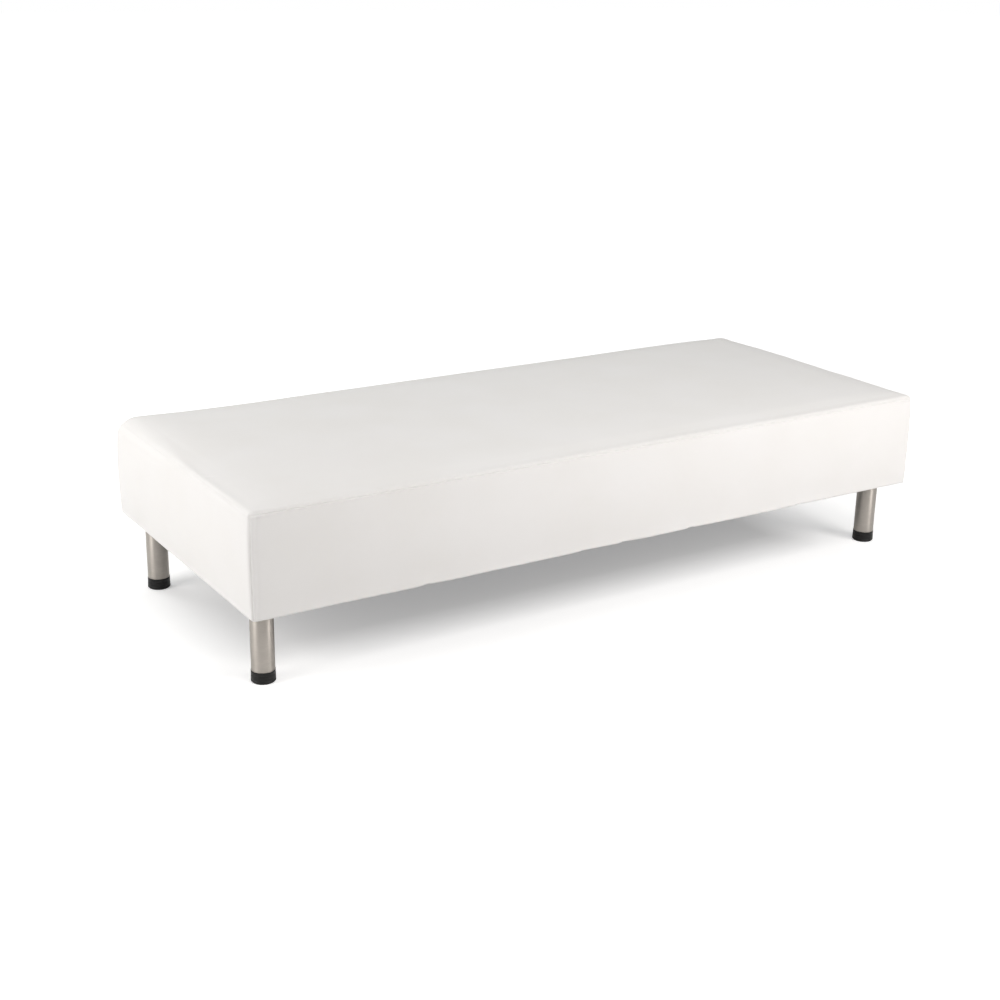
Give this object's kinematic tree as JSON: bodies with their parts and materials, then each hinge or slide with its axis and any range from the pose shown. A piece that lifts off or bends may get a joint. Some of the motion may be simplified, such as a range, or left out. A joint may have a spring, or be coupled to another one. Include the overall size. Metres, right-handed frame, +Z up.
{
  "type": "backless divan",
  "caption": "Long rectangular padded bench with a sewn leatherette cover, crowned seat, timber box frame, round tube legs and screw-in levelling feet.",
  "frame": {"origin": "on the floor under the middle of the bench, at the bottom centre of its bounding box", "axes": "+X along the length to the right seen from the front, +Y to the back, +Z up"},
  "size_m": [1.8, 0.7496, 0.4048],
  "materials": {
    "white_leatherette": "smooth coated fabric, fine grain, low sheen",
    "polyester_wadding": "fluffy bonded fibre",
    "seat_foam": "open-cell foam",
    "black_dust_cover": "non-woven cloth",
    "pine": "planed softwood",
    "plywood": "sanded plywood",
    "plate_steel": "black powder coat",
    "brushed_tube": "brushed along the tube",
    "zinc_steel": "zinc plated",
    "black_plastic": "moulded, fine satin"
  },
  "bodies": {
    "divan": {"cover_top_panel": "white_leatherette", "cover_band_front": "white_leatherette", "cover_band_back": "white_leatherette", "cover_band_left": "white_leatherette", "cover_band_right": "white_leatherette", "wadding_wrap": "polyester_wadding", "seat_foam": "seat_foam", "side_foam_front": "seat_foam", "side_foam_back": "seat_foam", "side_foam_left": "seat_foam", "side_foam_right": "seat_foam", "dust_cover": "black_dust_cover", "rail_front": "pine", "rail_back": "pine", "rail_left": "pine", "rail_right": "pine", "cross_rail_1": "pine", "cross_rail_2": "pine", "cross_rail_3": "pine", "corner_block_front_left": "pine", "corner_block_front_right": "pine", "corner_block_back_left": "pine", "corner_block_back_right": "pine", "seat_deck": "plywood", "leg_plate_front_left": "plate_steel", "leg_tube_front_left": "brushed_tube", "foot_insert_front_left": "black_plastic", "leg_plate_front_right": "plate_steel", "leg_tube_front_right": "brushed_tube", "foot_insert_front_right": "black_plastic", "leg_plate_back_left": "plate_steel", "leg_tube_back_left": "brushed_tube", "foot_insert_back_left": "black_plastic", "leg_plate_back_right": "plate_steel", "leg_tube_back_right": "brushed_tube", "foot_insert_back_right": "black_plastic", "leg_screws": "zinc_steel"},
    "foot_front_left": {"foot_pad_front_left": "black_plastic", "foot_stem_front_left": "zinc_steel"},
    "foot_front_right": {"foot_pad_front_right": "black_plastic", "foot_stem_front_right": "zinc_steel"},
    "foot_back_left": {"foot_pad_back_left": "black_plastic", "foot_stem_back_left": "zinc_steel"},
    "foot_back_right": {"foot_pad_back_right": "black_plastic", "foot_stem_back_right": "zinc_steel"}
  },
  "joints": [
    {"name": "foot_screw_front_left", "type": "slide", "parent": "divan", "child": "foot_front_left", "axis": [0, 0, -1], "range_m": [0, 0.012]},
    {"name": "foot_screw_front_right", "type": "slide", "parent": "divan", "child": "foot_front_right", "axis": [0, 0, -1], "range_m": [0, 0.012]},
    {"name": "foot_screw_back_left", "type": "slide", "parent": "divan", "child": "foot_back_left", "axis": [0, 0, -1], "range_m": [0, 0.012]},
    {"name": "foot_screw_back_right", "type": "slide", "parent": "divan", "child": "foot_back_right", "axis": [0, 0, -1], "range_m": [0, 0.012]}
  ]
}
